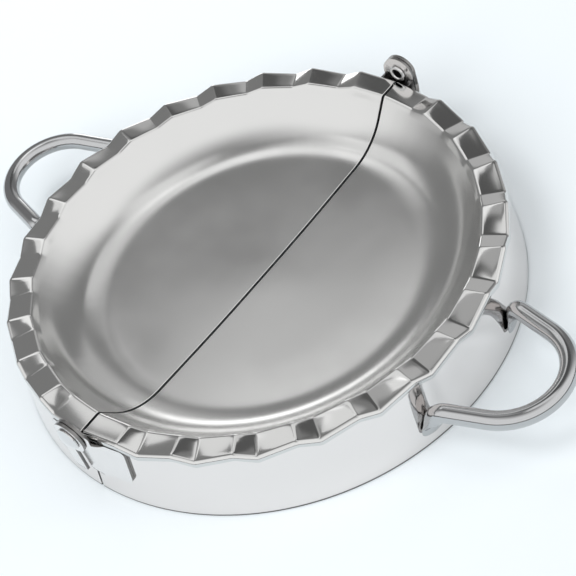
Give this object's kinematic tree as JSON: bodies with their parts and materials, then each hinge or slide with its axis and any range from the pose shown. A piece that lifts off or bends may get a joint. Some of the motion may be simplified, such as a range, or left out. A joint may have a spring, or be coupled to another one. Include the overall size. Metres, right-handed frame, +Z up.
{
  "type": "empanada press",
  "caption": "Hinged stainless steel press that folds, crimps and seals a filled round of dough into a half-moon pasty; its skirt cuts the round.",
  "frame": {"origin": "on the table under the middle of the opened press, at the centre of its base", "axes": "+X out through the right half's handle, +Y along the hinge line to the far rivet, +Z up"},
  "size_m": [0.2076, 0.1576, 0.0307],
  "materials": {
    "pan_steel": "stainless steel, satin bowl with a polished crimped rim",
    "skirt_steel": "mirror-polished stainless steel sheet",
    "handle_wire": "polished stainless steel wire",
    "leaf_steel": "polished stainless steel sheet, spot-welded",
    "rivet_steel": "polished semi-tubular steel rivet"
  },
  "bodies": {
    "right_half": {"right_pan": "pan_steel", "right_skirt": "skirt_steel", "right_handle": "handle_wire", "right_near_leaf": "leaf_steel", "right_far_leaf": "leaf_steel", "near_rivet": "rivet_steel", "far_rivet": "rivet_steel"},
    "left_half": {"left_pan": "pan_steel", "left_skirt": "skirt_steel", "left_handle": "handle_wire", "left_near_leaf": "leaf_steel", "left_far_leaf": "leaf_steel"}
  },
  "joints": [
    {"name": "fold", "type": "hinge", "parent": "right_half", "child": "left_half", "pos_m": [0, 0, 0.0245], "axis": [0, 1, 0], "range_deg": [0, 180]}
  ]
}
